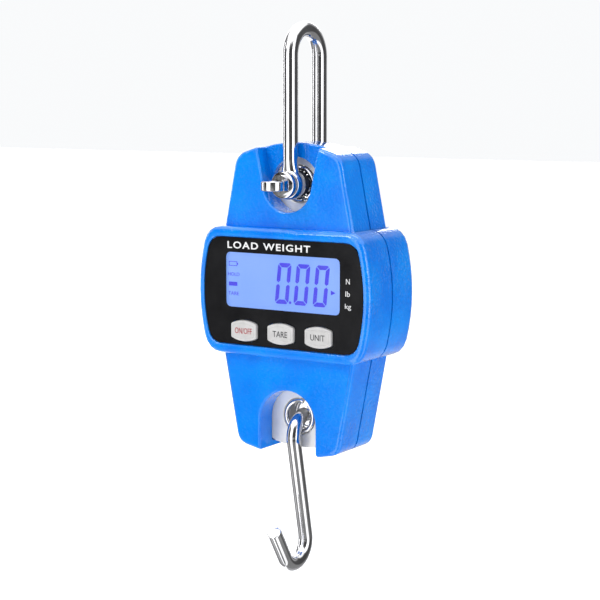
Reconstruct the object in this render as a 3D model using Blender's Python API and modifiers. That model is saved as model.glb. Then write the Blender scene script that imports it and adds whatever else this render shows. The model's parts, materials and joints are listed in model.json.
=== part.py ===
"""Hanging crane scale: a two-shell casing round a load cell plate, a bow shackle above, an S hook below.

The origin is the inner top of the shackle bow, where the crane hook bears. +Z is up, the display
faces -Y and +X is to the right of someone reading it. Lengths below are millimetres; the helpers
turn them into metres as they build each mesh.
"""
import math

import bmesh
import bpy
from mathutils import Matrix

MM = 0.001
GAP = 0.3  # between pieces that touch

# shackle
ROD_R = 3.2
LEG_Y = 11.4
BOW_REACH = 61.4  # pin axis up to the inner top of the bow
BOW_EYE_R = 6.3
BOW_EYE_FACE_R = 5.9
BOW_BORE_R = 4.1
PIN_R = 3.8
PIN_THREAD_R = 3.25
PIN_COLLAR_R = 5.65
PIN_COLLAR = 3.0
PIN_TAB = 11.8
PIN_TAB_R = 4.8
PIN_TAB_THICK = 4.0
PIN_TIP_Y = 22.4
COTTER_Y = 19.4
COTTER_WIRE_R = 0.5
COTTER_HOLE_R = 1.45

# casing, in a frame with its origin at the display's centre
EYE_TOP_Z = 45.5
EYE_LOW_Z = -54.1
EAR_Y = 14.3
BOX_Y = 19.0
SEAM = 0.5  # half the space that the seal fills
WALL = 2.3
BOX_HALF_W = 38.2
BOX_HALF_H = 27.35
BOX_BULGE = 4.5
PANEL_HALF_W = 35.8
PANEL_HALF_H = 22.8
PANEL_BULGE = 3.6
PANEL_FACE_Y = 18.5
PANEL_THICK = 0.6
RECESS_Y = 17.6
BOX_INNER_Y = 15.4
POCKET_R = 11.6
POCKET_FLOOR_Y = 7.4
NOTCH_R = 13.9
NOTCH_TOP_Z = -41.6
CASE_SCREWS = ((-22.0, 36.0), (22.0, 36.0), (-22.5, -38.0), (22.5, -38.0))

# load cell
PLATE_Y = 4.5
PLATE_EYE_R = 8.0
RING_R = 6.7
RING_WIRE_R = 1.0
RING_Y = 4.0
RING_GAP_DEG = 24.0

# display and keys
WINDOW_HALF_W = 28.35
WINDOW_LOW_Z = -6.9
WINDOW_TOP_Z = 16.5
LCD_HALF_W = 30.9
LCD_LOW_Z = -8.9
LCD_TOP_Z = 18.4
LCD_FRAME = 1.2
KEY_X = (-18.5, 0.0, 18.5)
KEY_Z = -16.7
KEY_HALF_W = 6.4
KEY_HALF_H = 2.95
KEY_BULGE = 1.55
KEY_FACE_Y = 19.7
BOARD_Y = 9.9
BOARD_THICK = 1.6
POSTS = ((-31.5, -19.3), (31.5, -19.3), (-31.5, 22.5), (31.5, 22.5))

# battery compartment
CELL_R = 5.25
CELL_LENGTH = 44.5
CELL_PITCH = 11.1
CELL_Y = 11.55
TRAY_HALF_W = 27.4
TRAY_HALF_H = 18.0
TRAY_WALL = 1.3
TRAY_FLOOR_Y = 5.0
TRAY_RIM_Y = 16.8
DOOR_HALF_W = 29.7
DOOR_HALF_H = 20.7
DOOR_THICK = 1.6

# S hook
HOOK_R = 3.15
HOOK_BEND_R = 9.0
HOOK_STEM = 43.2
HOOK_LEG = 15.3
HOOK_FLARE = math.radians(20)
HOOK_TILT = math.radians(12)

PIN_Z = -BOW_REACH
BODY_DROP = -EYE_TOP_Z  # display centre below the pin axis


def clear_scene():
    for obj in list(bpy.data.objects):
        bpy.data.objects.remove(obj, do_unlink=True)


def make_collection(name):
    collection = bpy.data.collections.new(name)
    bpy.context.scene.collection.children.link(collection)
    return collection


def make_material(name, colour, roughness, metallic):
    material = bpy.data.materials.new(name)
    material.use_nodes = True
    shader = material.node_tree.nodes["Principled BSDF"]
    shader.inputs["Base Color"].default_value = (*colour, 1.0)
    shader.inputs["Roughness"].default_value = roughness
    shader.inputs["Metallic"].default_value = metallic
    return material


def make_axis(name, parent, z):
    empty = bpy.data.objects.new(name, None)
    empty.empty_display_size = 0.01
    PARTS.objects.link(empty)
    empty.parent = parent
    empty.location = (0.0, 0.0, z * MM)
    return empty


def baked(obj):
    """Evaluated mesh of obj, welded, with its placing applied; obj itself is removed."""
    bpy.context.scene.collection.objects.link(obj)
    bpy.context.view_layer.update()
    graph = bpy.context.evaluated_depsgraph_get()
    mesh = bpy.data.meshes.new_from_object(obj.evaluated_get(graph))
    mesh.transform(obj.matrix_world)
    bpy.data.objects.remove(obj, do_unlink=True)
    bm = bmesh.new()
    bm.from_mesh(mesh)
    bmesh.ops.remove_doubles(bm, verts=bm.verts, dist=0.00001)
    bmesh.ops.recalc_face_normals(bm, faces=bm.faces)
    bm.to_mesh(mesh)
    bm.free()
    return mesh


def bevel_rim(bm, y, width, segments):
    """Round the edges that lie in the plane at y."""
    edges = [e for e in bm.edges if all(abs(v.co.y - y * MM) < 0.00001 for v in e.verts)]
    bmesh.ops.bevel(bm, geom=edges, offset=width * MM, offset_type="OFFSET", segments=segments,
                    profile=0.5, affect="EDGES")


def prism(outline, y0, y1, rim=None):
    """Flat outline in X and Z, thick from y0 to y1; rim is (y, width, segments) of a rounded edge."""
    curve = bpy.data.curves.new("outline", "CURVE")
    curve.dimensions = "2D"
    curve.fill_mode = "BOTH"
    curve.extrude = abs(y1 - y0) / 2 * MM
    spline = curve.splines.new("POLY")
    spline.points.add(len(outline) - 1)
    for point, (x, z) in zip(spline.points, outline):
        point.co = (x * MM, z * MM, 0.0, 1.0)
    spline.use_cyclic_u = True
    obj = bpy.data.objects.new("outline", curve)
    obj.location = (0.0, (y0 + y1) / 2 * MM, 0.0)
    obj.rotation_euler = (math.pi / 2, 0.0, 0.0)
    mesh = baked(obj)
    bm = bmesh.new()
    bm.from_mesh(mesh)
    bmesh.ops.dissolve_limit(bm, angle_limit=0.01, verts=bm.verts, edges=bm.edges)
    if rim:
        bevel_rim(bm, *rim)
    bm.to_mesh(mesh)
    bm.free()
    return mesh


def cylinder(radius, y0, y1, x=0.0, z=0.0, segments=24, end_radius=None):
    """Round bar along Y."""
    bm = bmesh.new()
    end = radius if end_radius is None else end_radius
    bmesh.ops.create_cone(bm, cap_ends=True, segments=segments, radius1=radius * MM,
                          radius2=end * MM, depth=(y1 - y0) * MM)
    bmesh.ops.rotate(bm, verts=bm.verts, matrix=Matrix.Rotation(-math.pi / 2, 3, "X"))
    bmesh.ops.translate(bm, verts=bm.verts, vec=(x * MM, (y0 + y1) / 2 * MM, z * MM))
    mesh = bpy.data.meshes.new("cylinder")
    bm.to_mesh(mesh)
    bm.free()
    return mesh


def box(x0, x1, y0, y1, z0, z1):
    bm = bmesh.new()
    bmesh.ops.create_cube(bm, size=MM)
    bmesh.ops.scale(bm, verts=bm.verts, vec=(x1 - x0, y1 - y0, z1 - z0))
    centre = ((x0 + x1) / 2 * MM, (y0 + y1) / 2 * MM, (z0 + z1) / 2 * MM)
    bmesh.ops.translate(bm, verts=bm.verts, vec=centre)
    mesh = bpy.data.meshes.new("box")
    bm.to_mesh(mesh)
    bm.free()
    return mesh


def turned(profile, turn, steps, closed=False):
    """Profile of (radius, height) pairs, top to bottom, turned about Z and then placed by turn."""
    mesh = bpy.data.meshes.new("profile")
    points = [(radius * MM, 0.0, height * MM) for radius, height in profile]
    edges = [(i, i + 1) for i in range(len(points) - 1)]
    if closed:
        edges.append((len(points) - 1, 0))
    mesh.from_pydata(points, edges, [])
    obj = bpy.data.objects.new("profile", mesh)
    screw = obj.modifiers.new("Screw", "SCREW")
    screw.steps = steps
    screw.render_steps = steps
    screw.use_merge_vertices = True
    screw.merge_threshold = 0.00001
    obj.matrix_world = turn
    return baked(obj)


def rod(points, radius, resolution):
    """Round wire along a chain of points, with closed ends."""
    curve = bpy.data.curves.new("rod", "CURVE")
    curve.dimensions = "3D"
    curve.bevel_depth = radius * MM
    curve.bevel_resolution = resolution
    curve.use_fill_caps = True
    spline = curve.splines.new("POLY")
    spline.points.add(len(points) - 1)
    for point, (x, y, z) in zip(spline.points, points):
        point.co = (x * MM, y * MM, z * MM, 1.0)
    return baked(bpy.data.objects.new("rod", curve))


def place(name, mesh, parent, z, material, collection):
    obj = bpy.data.objects.new(name, mesh)
    mesh.name = name
    collection.objects.link(obj)
    obj.parent = parent
    obj.location = (0.0, 0.0, z * MM)
    if material:
        mesh.materials.clear()
        mesh.materials.append(material)
    return obj


def piece(name, mesh, parent, z, colour, roughness, metallic):
    """One named sub-part with a material of its own."""
    mesh.shade_smooth()
    mesh.set_sharp_from_angle(angle=math.radians(35))
    material = make_material(name + "_material", colour, roughness, metallic)
    return place(name, mesh, parent, z, material, PARTS)


def tool(name, mesh, parent, z):
    """Hidden shape that a Boolean uses."""
    obj = place(name, mesh, parent, z, None, CUTTERS)
    obj.hide_render = True
    obj.display_type = "WIRE"
    return obj


def combine(obj, other, operation):
    modifier = obj.modifiers.new(operation.title(), "BOOLEAN")
    modifier.operation = operation
    modifier.solver = "EXACT"
    modifier.object = other


def cut(obj, other):
    combine(obj, other, "DIFFERENCE")


def join(obj, other):
    combine(obj, other, "UNION")


# outlines, as lists of (x, z)


def bowed(corners, bulges, radii, side_steps=8, corner_steps=4):
    """Outline through corners whose sides bow outwards by bulges, with rounded corners."""
    count = len(corners)
    sides = []
    for i in range(count):
        (x0, z0), (x1, z1) = corners[i], corners[(i + 1) % count]
        length = math.hypot(x1 - x0, z1 - z0)
        normal = ((z0 - z1) / length, (x1 - x0) / length)
        start = radii[i] / length
        end = 1.0 - radii[(i + 1) % count] / length
        steps = side_steps if bulges[i] else 1
        side = []
        for k in range(steps + 1):
            t = start + (end - start) * k / steps
            bow = bulges[i] * 4.0 * t * (1.0 - t)
            side.append((x0 + (x1 - x0) * t + normal[0] * bow, z0 + (z1 - z0) * t + normal[1] * bow))
        sides.append(side)
    outline = []
    for i in range(count):
        outline.extend(sides[i])
        (x0, z0), (x1, z1) = sides[i][-1], sides[(i + 1) % count][0]
        corner = corners[(i + 1) % count]
        for k in range(1, corner_steps):
            t = k / corner_steps
            a, b, c = (1.0 - t) ** 2, 2.0 * t * (1.0 - t), t * t
            outline.append((a * x0 + b * corner[0] + c * x1, a * z0 + b * corner[1] + c * z1))
    return outline


def mirrored_corners(right):
    """Clockwise corners from the ones on the right, listed top to bottom."""
    return list(right) + [(-x, z) for x, z in reversed(right)]


def rounded_box(half_w, z0, z1, radius):
    corners = mirrored_corners([(half_w, z1), (half_w, z0)])
    return bowed(corners, [0.0] * 4, [radius] * 4)


def ear_outline(grow):
    """Both ears of the casing as one outline that passes behind the display box."""
    right = [(26.0 + grow, 57.3 + grow), (33.5 + grow, 20.0), (34.3 + grow, -20.0),
             (25.5 + grow, -66.3 - grow)]
    bulges = [0.0, 0.0, 0.0, 3.7, 0.0, 0.0, 0.0, 5.7]
    radii = [4.0, 1.0, 1.0, 4.0, 4.0, 1.0, 1.0, 4.0]
    return bowed(mirrored_corners(right), bulges, radii)


def box_outline(grow):
    corners = mirrored_corners([(BOX_HALF_W + grow, BOX_HALF_H + grow),
                                (BOX_HALF_W + grow, -BOX_HALF_H - grow)])
    radius = 7.0 + grow
    return bowed(corners, [BOX_BULGE, 0.0, BOX_BULGE, 0.0], [radius] * 4)


def panel_outline(grow):
    corners = mirrored_corners([(PANEL_HALF_W + grow, PANEL_HALF_H + grow),
                                (PANEL_HALF_W + grow, -PANEL_HALF_H - grow)])
    radius = 5.0 + grow
    return bowed(corners, [PANEL_BULGE, 0.0, PANEL_BULGE, 0.0], [radius] * 4)


def key_outline(x, grow):
    half_w = KEY_HALF_W + grow
    half_h = KEY_HALF_H + grow
    corners = [(x + half_w, KEY_Z + half_h), (x + half_w, KEY_Z - half_h),
               (x - half_w, KEY_Z - half_h), (x - half_w, KEY_Z + half_h)]
    return bowed(corners, [0.0, KEY_BULGE, 0.0, KEY_BULGE], [0.9] * 4, side_steps=6, corner_steps=3)


def plate_outline(grow):
    right = [(18.0 + grow, 58.5 + grow), (18.0 + grow, 27.0 + grow), (24.0 + grow, 21.0),
             (24.0 + grow, -21.0), (18.0 + grow, -27.0 - grow), (18.0 + grow, -64.5 - grow)]
    bulges = [0.0] * 5 + [3.0] + [0.0] * 6
    radii = [6.0, 1.5, 1.5, 1.5, 1.5, 6.0, 6.0, 1.5, 1.5, 1.5, 1.5, 6.0]
    return bowed(mirrored_corners(right), bulges, radii, corner_steps=3)


def pocket_outline(grow):
    """U slot round the upper eye; its straight walls lean outwards to the top of the ear."""
    radius = POCKET_R + grow
    lean = math.radians(12)
    top_z = EYE_TOP_Z + 24.0
    start = (radius * math.cos(lean), EYE_TOP_Z - radius * math.sin(lean))
    reach = (top_z - start[1]) * math.tan(lean)
    points = [(-start[0] - reach, top_z), (start[0] + reach, top_z)]
    for k in range(21):
        angle = -lean + (2 * lean - math.pi) * k / 20
        points.append((radius * math.cos(angle), EYE_TOP_Z + radius * math.sin(angle)))
    return points


def notch_outline(grow):
    """Arch round the lower eye, open at the bottom."""
    radius = NOTCH_R + grow
    centre_z = NOTCH_TOP_Z - NOTCH_R
    points = []
    for k in range(21):
        angle = math.pi * k / 20
        points.append((radius * math.cos(angle), centre_z + radius * math.sin(angle)))
    return points + [(-radius, -80.0), (radius, -80.0)]


# casing


def half_shell(name, side, axis):
    """Half of the painted casing: side is -1 for the display half and 1 for the battery half."""
    def span(near, far):
        return min(side * near, side * far), max(side * near, side * far)

    def extra(label, mesh):
        return tool(name + "_" + label, mesh, axis, BODY_DROP)

    shell = piece(name, prism(ear_outline(0.0), *span(SEAM, EAR_Y), rim=(side * EAR_Y, 1.8, 3)),
                  axis, BODY_DROP, (0.0, 0.22, 0.9), 0.25, 0.0)
    box_body = prism(box_outline(0.0), *span(SEAM, BOX_Y), rim=(side * BOX_Y, 2.4, 3))
    join(shell, extra("box", box_body))

    ear_space = extra("ear_space", prism(ear_outline(-WALL), *span(-1.0, EAR_Y - WALL)))
    walls = {"pocket_wall": prism(pocket_outline(WALL), *span(PLATE_Y - 0.5, EAR_Y - 1.0)),
             "notch_wall": prism(notch_outline(WALL), *span(PLATE_Y - 0.5, EAR_Y - 1.0))}
    for number, (x, z) in enumerate(CASE_SCREWS):
        walls[f"screw_boss_{number}"] = cylinder(3.2, -EAR_Y, EAR_Y, x, z, 20)
    for label, mesh in walls.items():
        cut(ear_space, extra(label, mesh))
    box_space = extra("box_space", prism(box_outline(-WALL), *span(-1.0, BOX_INNER_Y)))
    if side < 0:
        for number, (x, z) in enumerate(POSTS):
            post = cylinder(2.1, -BOX_Y, -BOARD_Y - GAP, x, z, 16)
            cut(box_space, extra(f"post_{number}", post))

    cut(shell, ear_space)
    cut(shell, box_space)
    cut(shell, extra("plate_space", prism(plate_outline(0.5), *span(-1.0, PLATE_Y + GAP))))
    cut(shell, extra("pocket", prism(pocket_outline(0.0), *span(POCKET_FLOOR_Y, BOX_Y))))
    cut(shell, extra("eye", cylinder(POCKET_R - 0.1, *span(PLATE_Y - 1.0, EAR_Y), 0.0, EYE_TOP_Z, 40)))
    cut(shell, extra("notch", prism(notch_outline(0.0), *span(-1.0, BOX_Y))))
    return shell, extra


def front_cover(axis):
    shell, extra = half_shell("front_cover", -1, axis)
    cut(shell, extra("panel_recess", prism(panel_outline(GAP), -BOX_Y - 1.0, -RECESS_Y)))
    opening = rounded_box(LCD_HALF_W + GAP, LCD_LOW_Z - GAP, LCD_TOP_Z + GAP, 0.6)
    cut(shell, extra("window", prism(opening, -BOX_Y, -BOX_INNER_Y + 1.0)))
    for number, x in enumerate(KEY_X):
        hole = prism(key_outline(x, GAP), -BOX_Y, -BOX_INNER_Y + 1.0)
        cut(shell, extra(f"key_hole_{number}", hole))
    for number, (x, z) in enumerate(CASE_SCREWS):
        cut(shell, extra(f"screw_hole_{number}", cylinder(1.6, -9.5, 1.0, x, z, 12)))
    for number, (x, z) in enumerate(POSTS):
        cut(shell, extra(f"post_hole_{number}", cylinder(1.1, -15.0, -BOARD_Y + 1.0, x, z, 10)))


def rear_cover(axis):
    shell, extra = half_shell("rear_cover", 1, axis)
    ledge_y = BOX_Y - DOOR_THICK - GAP
    door = rounded_box(DOOR_HALF_W + GAP, -DOOR_HALF_H - GAP, DOOR_HALF_H + GAP, 3.0)
    cut(shell, extra("door_recess", prism(door, ledge_y, BOX_Y + 1.0)))
    tray = rounded_box(TRAY_HALF_W + GAP, -TRAY_HALF_H - GAP, TRAY_HALF_H + GAP, 1.3)
    cut(shell, extra("tray_opening", prism(tray, BOX_INNER_Y - 1.0, BOX_Y)))
    scoop = cylinder(5.0, BOX_Y - 1.2, BOX_Y + 1.0, 0.0, -DOOR_HALF_H - 1.0, 24)
    cut(shell, extra("finger_scoop", scoop))
    for number, (x, z) in enumerate(CASE_SCREWS):
        cut(shell, extra(f"screw_hole_{number}", cylinder(1.7, -1.0, EAR_Y, x, z, 12)))
        cut(shell, extra(f"screw_head_{number}", cylinder(3.0, 11.3, EAR_Y + 1.0, x, z, 20)))


def case_seal(axis):
    """Rubber strip in the seam between the two half shells."""
    thick = SEAM - GAP
    seal = piece("case_seal", prism(ear_outline(-0.6), -thick, thick), axis, BODY_DROP,
                 (0.02, 0.02, 0.02), 0.8, 0.0)
    join(seal, tool("seal_box", prism(box_outline(-0.6), -thick, thick), axis, BODY_DROP))
    cutters = {"seal_ear_inside": prism(ear_outline(-1.9), -1.0, 1.0),
               "seal_box_inside": prism(box_outline(-1.9), -1.0, 1.0),
               "seal_plate_space": prism(plate_outline(0.5), -1.0, 1.0),
               "seal_notch": prism(notch_outline(0.4), -1.0, 1.0)}
    for name, mesh in cutters.items():
        cut(seal, tool(name, mesh, axis, BODY_DROP))


def case_screws(axis):
    for number, (x, z) in enumerate(CASE_SCREWS, 1):
        name = f"case_screw_{number}"
        screw = piece(name, cylinder(1.3, -8.6, 12.0, x, z, 12), axis, BODY_DROP,
                      (0.5, 0.5, 0.52), 0.35, 1.0)
        join(screw, tool(name + "_head", cylinder(2.6, 11.6, 13.5, x, z, 20), axis, BODY_DROP))
        slot_arm = box(x - 1.5, x + 1.5, 12.6, 14.0, z - 0.35, z + 0.35)
        cut(screw, tool(name + "_slot_a", slot_arm, axis, BODY_DROP))
        slot_arm = box(x - 0.35, x + 0.35, 12.6, 14.0, z - 1.5, z + 1.5)
        cut(screw, tool(name + "_slot_b", slot_arm, axis, BODY_DROP))


# load cell


def load_cell(axis):
    plate = piece("load_cell", prism(plate_outline(0.0), -PLATE_Y, PLATE_Y), axis, BODY_DROP,
                  (0.55, 0.54, 0.52), 0.4, 1.0)
    cuts = {"upper_eye": cylinder(PLATE_EYE_R, -6.0, 6.0, 0.0, EYE_TOP_Z, 40),
            "lower_eye": cylinder(PLATE_EYE_R, -6.0, 6.0, 0.0, EYE_LOW_Z, 40),
            "gauge_bore_left": cylinder(4.2, -6.0, 6.0, -6.5, 0.0, 24),
            "gauge_bore_right": cylinder(4.2, -6.0, 6.0, 6.5, 0.0, 24),
            "gauge_bridge": box(-6.5, 6.5, -6.0, 6.0, -1.0, 1.0),
            "upper_slit": box(-30.0, 13.0, -6.0, 6.0, 11.2, 12.8),
            "lower_slit": box(-13.0, 30.0, -6.0, 6.0, -12.8, -11.2)}
    for name, mesh in cuts.items():
        cut(plate, tool("load_cell_" + name, mesh, axis, BODY_DROP))


def wear_rings(axis):
    """Split wire rings that line each eye at both faces of the plate."""
    places = (("upper", EYE_TOP_Z, -65.0), ("lower", EYE_LOW_Z, 62.0))
    for level, z, gap_deg in places:
        for face, side in (("front", -1), ("rear", 1)):
            points = []
            for k in range(37):
                angle = math.radians(gap_deg + RING_GAP_DEG / 2 + (360.0 - RING_GAP_DEG) * k / 36)
                points.append((RING_R * math.cos(angle), side * RING_Y, z + RING_R * math.sin(angle)))
            piece(f"{level}_ring_{face}", rod(points, RING_WIRE_R, 1), axis, BODY_DROP,
                  (0.6, 0.6, 0.62), 0.12, 1.0)


def gauge_parts(axis):
    potting = prism(rounded_box(12.0, -6.5, 6.5, 2.0), -5.9, -PLATE_Y - GAP)
    piece("gauge_potting", potting, axis, BODY_DROP, (0.75, 0.75, 0.7), 0.6, 0.0)
    route = [(12.4, -5.5, 0.0), (14.5, -5.6, 0.4), (16.8, -5.8, 0.2), (19.0, -6.2, -0.4),
             (20.8, -6.8, -0.6), (21.8, -7.9, -0.6)]
    piece("load_cell_lead", rod(route, 0.7, 2), axis, BODY_DROP, (0.5, 0.02, 0.02), 0.5, 0.0)


# display, board and keys


def display_parts(axis):
    overlay = piece("display_overlay", prism(panel_outline(0.0), -PANEL_FACE_Y,
                                             -PANEL_FACE_Y + PANEL_THICK),
                    axis, BODY_DROP, (0.01, 0.01, 0.012), 0.15, 0.0)
    opening = rounded_box(WINDOW_HALF_W, WINDOW_LOW_Z, WINDOW_TOP_Z, 2.5)
    cut(overlay, tool("overlay_window", prism(opening, -BOX_Y - 1.0, -RECESS_Y), axis, BODY_DROP))
    for number, x in enumerate(KEY_X):
        hole = prism(key_outline(x, GAP), -BOX_Y - 1.0, -RECESS_Y)
        cut(overlay, tool(f"overlay_key_{number}", hole, axis, BODY_DROP))
    glass_y = -RECESS_Y + PANEL_THICK + GAP
    light_y = glass_y + 1.8 + GAP
    window = rounded_box(LCD_HALF_W, LCD_LOW_Z, LCD_TOP_Z, 0.4)
    piece("display_window", prism(window, -RECESS_Y, -RECESS_Y + PANEL_THICK), axis, BODY_DROP,
          (0.6, 0.7, 0.9), 0.1, 0.0)
    piece("lcd_glass", box(-LCD_HALF_W, LCD_HALF_W, glass_y, light_y - GAP, LCD_LOW_Z, LCD_TOP_Z),
          axis, BODY_DROP, (0.25, 0.43, 1.0), 0.3, 0.0)
    piece("backlight", box(-LCD_HALF_W, LCD_HALF_W, light_y, light_y + 2.4, LCD_LOW_Z, LCD_TOP_Z),
          axis, BODY_DROP, (0.85, 0.88, 0.95), 0.5, 0.0)
    rim = GAP + LCD_FRAME
    frame = box(-LCD_HALF_W - rim, LCD_HALF_W + rim, -BOX_INNER_Y + GAP, -BOARD_Y - GAP,
                LCD_LOW_Z - rim, LCD_TOP_Z + rim)
    frame = piece("lcd_frame", frame, axis, BODY_DROP, (0.8, 0.8, 0.8), 0.5, 0.0)
    inside = box(-LCD_HALF_W - GAP, LCD_HALF_W + GAP, -BOX_Y, 0.0, LCD_LOW_Z - GAP, LCD_TOP_Z + GAP)
    cut(frame, tool("lcd_frame_inside", inside, axis, BODY_DROP))


def board_parts(axis):
    outline = rounded_box(34.0, -22.6, 24.2, 4.0)
    back = -BOARD_Y + BOARD_THICK
    board = piece("main_board", prism(outline, -BOARD_Y, back), axis, BODY_DROP,
                  (0.02, 0.2, 0.06), 0.5, 0.0)
    for number, (x, z) in enumerate(POSTS, 1):
        hole = cylinder(1.1, -12.0, -6.0, x, z, 12)
        cut(board, tool(f"board_hole_{number}", hole, axis, BODY_DROP))
        name = f"board_screw_{number}"
        screw = piece(name, cylinder(0.8, -14.6, back + 0.6, x, z, 10), axis, BODY_DROP,
                      (0.6, 0.6, 0.6), 0.3, 1.0)
        head = cylinder(1.7, back + GAP, back + 1.5, x, z, 16)
        join(screw, tool(name + "_head", head, axis, BODY_DROP))
    chip = cylinder(4.5, back + GAP, back + 1.8, 0.0, 16.0, 24, end_radius=3.2)
    piece("measuring_chip", chip, axis, BODY_DROP, (0.02, 0.02, 0.02), 0.5, 0.0)


def keys(axis):
    """Three sprung keys, each over a switch on the board."""
    names = ("power", "tare", "unit")
    for name, x in zip(names, KEY_X):
        cap = prism(key_outline(x, 0.0), -KEY_FACE_Y, -14.6, rim=(-KEY_FACE_Y, 0.5, 2))
        slide = piece(f"{name}_key", cap, axis, BODY_DROP, (0.66, 0.66, 0.65), 0.45, 0.0)
        flange = prism(key_outline(x, 0.9), -BOX_INNER_Y + GAP, -14.2)
        join(slide, tool(f"{name}_key_flange", flange, axis, BODY_DROP))
        switch = box(x - 3.0, x + 3.0, -12.6, -BOARD_Y - GAP, KEY_Z - 3.0, KEY_Z + 3.0)
        switch = piece(f"{name}_switch", switch, axis, BODY_DROP, (0.1, 0.1, 0.1), 0.5, 0.0)
        plunger = cylinder(1.5, -13.1, -12.0, x, KEY_Z, 16)
        join(switch, tool(f"{name}_plunger", plunger, axis, BODY_DROP))


# batteries


def battery_parts(axis):
    outline = rounded_box(TRAY_HALF_W, -TRAY_HALF_H, TRAY_HALF_H, 1.0)
    tray = piece("battery_tray", prism(outline, TRAY_FLOOR_Y, TRAY_RIM_Y), axis, BODY_DROP,
                 (0.03, 0.03, 0.03), 0.6, 0.0)
    inner_w = TRAY_HALF_W - TRAY_WALL
    inner_h = TRAY_HALF_H - TRAY_WALL
    hollow = box(-inner_w, inner_w, TRAY_FLOOR_Y + 1.0, TRAY_RIM_Y + 1.0, -inner_h, inner_h)
    cut(tray, tool("tray_hollow", hollow, axis, BODY_DROP))
    contact_x = inner_w - GAP
    nub_x = contact_x - 0.5 - GAP
    for number in range(3):
        z = (1 - number) * CELL_PITCH
        turn = 1 if number % 2 == 0 else -1
        cell_profile = [(0.0, nub_x), (1.8, nub_x), (1.9, nub_x - 0.8), (4.8, nub_x - 0.8),
                        (CELL_R, nub_x - 1.3), (CELL_R, nub_x - CELL_LENGTH + 0.5),
                        (4.8, nub_x - CELL_LENGTH), (0.0, nub_x - CELL_LENGTH)]
        along_x = Matrix.Rotation(turn * math.pi / 2, 4, "Y")
        seat = Matrix.Translation((0.0, CELL_Y * MM, z * MM)) @ along_x
        piece(f"battery_{number + 1}", turned(cell_profile, seat, 24), axis, BODY_DROP,
              (0.55, 0.57, 0.55), 0.3, 0.8)
        plate = box(turn * contact_x - 0.25 - turn * 0.25, turn * contact_x + 0.25 - turn * 0.25,
                    CELL_Y - 3.5, CELL_Y + 3.5, z - 3.5, z + 3.5)
        piece(f"contact_plate_{number + 1}", plate, axis, BODY_DROP, (0.7, 0.68, 0.6), 0.3, 1.0)
        piece(f"contact_spring_{number + 1}", spring(turn, contact_x, nub_x, z), axis, BODY_DROP,
              (0.6, 0.6, 0.6), 0.25, 1.0)


def spring(turn, contact_x, nub_x, z):
    """Conical wire coil between the tray's wall and a battery's flat end."""
    wire = 0.35
    outer_x = contact_x - wire
    inner_x = CELL_LENGTH - nub_x + GAP + wire
    turns = 3.5
    count = 36
    points = []
    for k in range(count + 1):
        t = k / count
        angle = 2 * math.pi * turns * t
        radius = 3.6 - 1.4 * t
        x = -turn * (outer_x + (inner_x - outer_x) * t)
        points.append((x, CELL_Y + radius * math.cos(angle), z + radius * math.sin(angle)))
    return rod(points, wire, 1)


def battery_door(axis):
    door_outline = rounded_box(DOOR_HALF_W, -DOOR_HALF_H, DOOR_HALF_H, 2.7)
    face = BOX_Y - DOOR_THICK
    door = piece("battery_door", prism(door_outline, face, BOX_Y), axis, BODY_DROP,
                 (0.0, 0.2, 0.8), 0.35, 0.0)
    catch = box(-4.0, 4.0, face - 1.4, face + 0.5, -TRAY_HALF_H + 1.7, -TRAY_HALF_H + 2.9)
    join(door, tool("door_catch", catch, axis, BODY_DROP))
    scoop = cylinder(3.6, BOX_Y - 0.8, BOX_Y + 1.0, 0.0, -DOOR_HALF_H, 24)
    cut(door, tool("door_scoop", scoop, axis, BODY_DROP))


# shackle


def shackle_bow(axis):
    """Bent bar with an eye on each leg; its legs stand in the pockets of the casing."""
    arc_z = BOW_REACH - (LEG_Y - ROD_R)
    points = [(0.0, -LEG_Y, 4.6)]
    for k in range(17):
        angle = math.pi - math.pi * k / 16
        points.append((0.0, LEG_Y * math.cos(angle), arc_z + LEG_Y * math.sin(angle)))
    points.append((0.0, LEG_Y, 4.6))
    bow = piece("shackle_bow", rod(points, ROD_R, 3), axis, 0.0, (0.35, 0.35, 0.36), 0.1, 1.0)
    profile = [(0.0, ROD_R), (BOW_EYE_FACE_R - 0.4, ROD_R), (BOW_EYE_FACE_R, ROD_R - 0.4),
               (BOW_EYE_R, ROD_R * 0.5), (BOW_EYE_R + 0.1, 0.0), (BOW_EYE_R, -ROD_R * 0.5),
               (BOW_EYE_FACE_R, -ROD_R + 0.4), (BOW_EYE_FACE_R - 0.4, -ROD_R), (0.0, -ROD_R)]
    for name, y in (("front_eye", -LEG_Y), ("rear_eye", LEG_Y)):
        seat = Matrix.Translation((0.0, y * MM, 0.0)) @ Matrix.Rotation(-math.pi / 2, 4, "X")
        join(bow, tool("bow_" + name, turned(profile, seat, 32), axis, 0.0))
    cut(bow, tool("bow_front_bore", cylinder(BOW_BORE_R, -LEG_Y - 5.0, -LEG_Y + 5.0), axis, 0.0))
    thread_y = LEG_Y - 0.8
    cut(bow, tool("bow_rear_bore", cylinder(BOW_BORE_R, LEG_Y - 5.0, thread_y), axis, 0.0))
    tapped = cylinder(PIN_THREAD_R + GAP, LEG_Y - 5.0, LEG_Y + 5.0)
    cut(bow, tool("bow_tapped_bore", tapped, axis, 0.0))


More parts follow.
